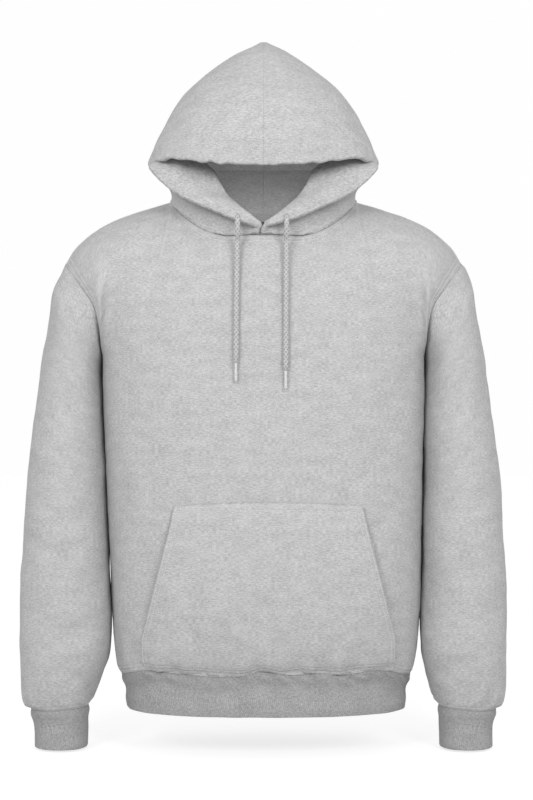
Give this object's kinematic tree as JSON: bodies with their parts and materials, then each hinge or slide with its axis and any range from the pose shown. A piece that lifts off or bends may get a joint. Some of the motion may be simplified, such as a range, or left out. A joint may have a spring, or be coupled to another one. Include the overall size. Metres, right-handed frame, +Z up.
{
  "type": "pullover hoodie",
  "caption": "Hooded pullover sweatshirt in grey heather fleece, with a front pouch pocket, drawcord and ribbed cuffs and hem, filled out and hollow.",
  "frame": {"origin": "centre of the neck, level with the high point of the shoulders, where the wearer's neck and shoulders hold it", "axes": "+X to the viewer's right seen from the front, the front faces -Y, +Z up"},
  "size_m": [0.655, 0.2691, 0.9605],
  "materials": {
    "fleece": "brushed cotton-rich fleece, grey heather",
    "rib_knit": "rib knit, darker grey heather",
    "cord": "round braided cord, grey heather",
    "cord_tip": "clear shrunk film over the cord's end",
    "tape": "narrow woven tape"
  },
  "bodies": {
    "root": {"front": "fleece", "back": "fleece", "sleeve_left": "fleece", "sleeve_right": "fleece", "hood_left": "fleece", "hood_right": "fleece", "pocket": "fleece", "hem_band": "rib_knit", "cuff_left": "rib_knit", "cuff_right": "rib_knit", "neck_tape": "tape", "drawcord_left": "cord", "drawcord_right": "cord", "cord_tip_left": "cord_tip", "cord_tip_right": "cord_tip"}
  },
  "joints": []
}
